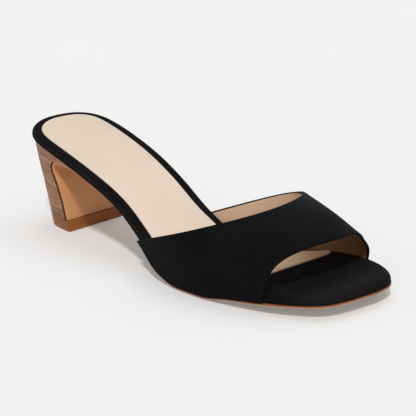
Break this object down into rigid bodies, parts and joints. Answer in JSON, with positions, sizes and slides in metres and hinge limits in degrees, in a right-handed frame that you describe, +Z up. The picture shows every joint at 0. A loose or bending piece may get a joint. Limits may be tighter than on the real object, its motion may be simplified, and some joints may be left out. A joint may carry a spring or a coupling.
{
  "type": "slide sandal",
  "caption": "Square-toed slide sandal with one broad black suede vamp, a suede-wrapped footbed with a beige leather sock and a stacked leather block heel, for the right foot.",
  "frame": {"origin": "on the floor at the middle of the heel's tread, the underside of the top lift", "axes": "+X from the heel to the toe, +Y to the wearer's left, which is the inner side of this right shoe, +Z up"},
  "size_m": [0.2438, 0.0838, 0.0591],
  "materials": {
    "suede": "suede",
    "suede_wrap": "suede",
    "sock_leather": "satin",
    "sole_leather": "satin",
    "heel_stack": "satin",
    "breast_leather": "satin",
    "lift_leather": "satin"
  },
  "bodies": {
    "root": {"outsole": "sole_leather", "footbed": "suede_wrap", "sock_lining": "sock_leather", "vamp": "suede", "heel_block": "heel_stack", "breast_cover": "breast_leather", "top_lift": "lift_leather"}
  },
  "joints": []
}
